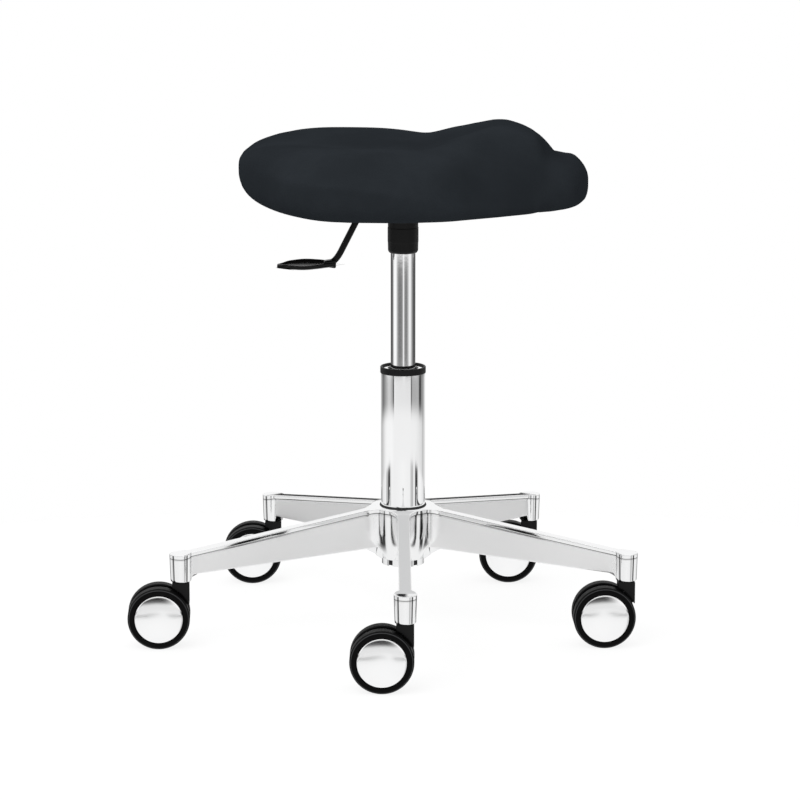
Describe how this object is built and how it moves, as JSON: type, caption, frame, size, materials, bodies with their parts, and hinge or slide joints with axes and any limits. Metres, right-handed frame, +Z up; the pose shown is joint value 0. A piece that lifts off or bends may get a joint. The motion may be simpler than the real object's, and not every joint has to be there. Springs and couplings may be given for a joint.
{
  "type": "saddle stool",
  "caption": "Height-adjustable saddle stool with an upholstered seat, bright telescopic column, release lever and polished star base on twin-wheel casters.",
  "frame": {"origin": "on the floor, at the middle of the stool's box seen from above", "axes": "+Z up; +X along the seat, from its broad rear to its pommel; +Y to the sitter's left"},
  "size_m": [0.5697, 0.5209, 0.5765],
  "materials": {
    "polished_aluminium": "polished cast aluminium",
    "bright_chrome": "mirror-bright chrome plating",
    "plain_steel": "turned steel",
    "black_plastic": "satin black moulding",
    "black_rubber": "matt black rubber",
    "tread_black": "satin black soft tread",
    "black_steel": "satin black powder coat",
    "seat_cover": "smooth anthracite artificial leather",
    "seat_board": "dark moulded plywood board"
  },
  "bodies": {
    "base": {"base_casting": "polished_aluminium", "column_tube": "bright_chrome", "column_ring": "black_plastic", "guide_bush": "black_plastic"},
    "rod_set": {"piston_rod": "plain_steel", "thrust_bearing": "plain_steel", "rubber_buffer": "black_rubber", "retaining_clip": "plain_steel"},
    "seat_frame": {"gas_cylinder": "bright_chrome", "seat_socket": "black_plastic", "seat_plate": "black_steel", "seat_screw_1": "plain_steel", "seat_screw_2": "plain_steel", "seat_screw_3": "plain_steel", "seat_screw_4": "plain_steel", "seat_shell": "seat_board", "seat_cushion": "seat_cover"},
    "lever": {"lever_rod": "black_steel", "lever_paddle": "black_plastic"},
    "release_pin": {"release_pin": "plain_steel"},
    "caster_front": {"stem_front": "plain_steel", "grip_ring_front": "plain_steel", "housing_front": "black_plastic", "axle_front": "plain_steel"},
    "wheel_front_near": {"wheel_front_near": "tread_black", "cap_front_near": "bright_chrome"},
    "wheel_front_far": {"wheel_front_far": "tread_black", "cap_front_far": "bright_chrome"},
    "caster_right": {"stem_right": "plain_steel", "grip_ring_right": "plain_steel", "housing_right": "black_plastic", "axle_right": "plain_steel"},
    "wheel_right_near": {"wheel_right_near": "tread_black", "cap_right_near": "bright_chrome"},
    "wheel_right_far": {"wheel_right_far": "tread_black", "cap_right_far": "bright_chrome"},
    "caster_rear_right": {"stem_rear_right": "plain_steel", "grip_ring_rear_right": "plain_steel", "housing_rear_right": "black_plastic", "axle_rear_right": "plain_steel"},
    "wheel_rear_right_near": {"wheel_rear_right_near": "tread_black", "cap_rear_right_near": "bright_chrome"},
    "wheel_rear_right_far": {"wheel_rear_right_far": "tread_black", "cap_rear_right_far": "bright_chrome"},
    "caster_rear_left": {"stem_rear_left": "plain_steel", "grip_ring_rear_left": "plain_steel", "housing_rear_left": "black_plastic", "axle_rear_left": "plain_steel"},
    "wheel_rear_left_near": {"wheel_rear_left_near": "tread_black", "cap_rear_left_near": "bright_chrome"},
    "wheel_rear_left_far": {"wheel_rear_left_far": "tread_black", "cap_rear_left_far": "bright_chrome"},
    "caster_left": {"stem_left": "plain_steel", "grip_ring_left": "plain_steel", "housing_left": "black_plastic", "axle_left": "plain_steel"},
    "wheel_left_near": {"wheel_left_near": "tread_black", "cap_left_near": "bright_chrome"},
    "wheel_left_far": {"wheel_left_far": "tread_black", "cap_left_far": "bright_chrome"}
  },
  "joints": [
    {"name": "seat_swivel", "type": "hinge", "parent": "base", "child": "rod_set", "pos_m": [0.02369, 0.02364, 0.0842], "axis": [0, 0, 1], "continuous": true},
    {"name": "seat_lift", "type": "slide", "parent": "rod_set", "child": "seat_frame", "axis": [0, 0, 1], "range_m": [-0.125, 0]},
    {"name": "lever_pivot", "type": "hinge", "parent": "seat_frame", "child": "lever", "pos_m": [-0.00031, 0.02364, 0.4782], "axis": [0, 1, 0], "range_deg": [0, 8.6], "stiffness_Nm_per_rad": 0.6, "springref_deg": -14.32},
    {"name": "pin_press", "type": "slide", "parent": "seat_frame", "child": "release_pin", "axis": [0, 0, 1], "range_m": [-0.0042, 0]},
    {"name": "caster_swivel_front", "type": "hinge", "parent": "base", "child": "caster_front", "pos_m": [0.02369, -0.23776, 0.0344], "axis": [0, 0, 1], "continuous": true},
    {"name": "wheel_spin_front_near", "type": "hinge", "parent": "caster_front", "child": "wheel_front_near", "pos_m": [-0.0012, -0.23732, 0.0344], "axis": [0.0175, 0.9998, 0], "continuous": true},
    {"name": "wheel_spin_front_far", "type": "hinge", "parent": "caster_front", "child": "wheel_front_far", "pos_m": [-0.0012, -0.23732, 0.0344], "axis": [0.0175, 0.9998, 0], "continuous": true},
    {"name": "caster_swivel_right", "type": "hinge", "parent": "base", "child": "caster_right", "pos_m": [0.2723, -0.05713, 0.0344], "axis": [0, 0, 1], "continuous": true},
    {"name": "wheel_spin_right_near", "type": "hinge", "parent": "caster_right", "child": "wheel_right_near", "pos_m": [0.2474, -0.05757, 0.0344], "axis": [-0.0175, 0.9998, 0], "continuous": true},
    {"name": "wheel_spin_right_far", "type": "hinge", "parent": "caster_right", "child": "wheel_right_far", "pos_m": [0.2474, -0.05757, 0.0344], "axis": [-0.0175, 0.9998, 0], "continuous": true},
    {"name": "caster_swivel_rear_right", "type": "hinge", "parent": "base", "child": "caster_rear_right", "pos_m": [0.17734, 0.23512, 0.0344], "axis": [0, 0, 1], "continuous": true},
    {"name": "wheel_spin_rear_right_near", "type": "hinge", "parent": "caster_rear_right", "child": "wheel_rear_right_near", "pos_m": [0.15247, 0.23642, 0.0344], "axis": [0.0523, 0.9986, 0], "continuous": true},
    {"name": "wheel_spin_rear_right_far", "type": "hinge", "parent": "caster_rear_right", "child": "wheel_rear_right_far", "pos_m": [0.15247, 0.23642, 0.0344], "axis": [0.0523, 0.9986, 0], "continuous": true},
    {"name": "caster_swivel_rear_left", "type": "hinge", "parent": "base", "child": "caster_rear_left", "pos_m": [-0.12996, 0.23512, 0.0344], "axis": [0, 0, 1], "continuous": true},
    {"name": "wheel_spin_rear_left_near", "type": "hinge", "parent": "caster_rear_left", "child": "wheel_rear_left_near", "pos_m": [-0.15486, 0.23512, 0.0344], "axis": [0, 1, 0], "continuous": true},
    {"name": "wheel_spin_rear_left_far", "type": "hinge", "parent": "caster_rear_left", "child": "wheel_rear_left_far", "pos_m": [-0.15486, 0.23512, 0.0344], "axis": [0, 1, 0], "continuous": true},
    {"name": "caster_swivel_left", "type": "hinge", "parent": "base", "child": "caster_left", "pos_m": [-0.22492, -0.05713, 0.0344], "axis": [0, 0, 1], "continuous": true},
    {"name": "wheel_spin_left_near", "type": "hinge", "parent": "caster_left", "child": "wheel_left_near", "pos_m": [-0.2498, -0.058, 0.0344], "axis": [-0.0349, 0.9994, 0], "continuous": true},
    {"name": "wheel_spin_left_far", "type": "hinge", "parent": "caster_left", "child": "wheel_left_far", "pos_m": [-0.2498, -0.058, 0.0344], "axis": [-0.0349, 0.9994, 0], "continuous": true}
  ],
  "couplings": [
    {"joint": "pin_press", "follows": "lever_pivot", "m_per_rad": -0.0275}
  ]
}
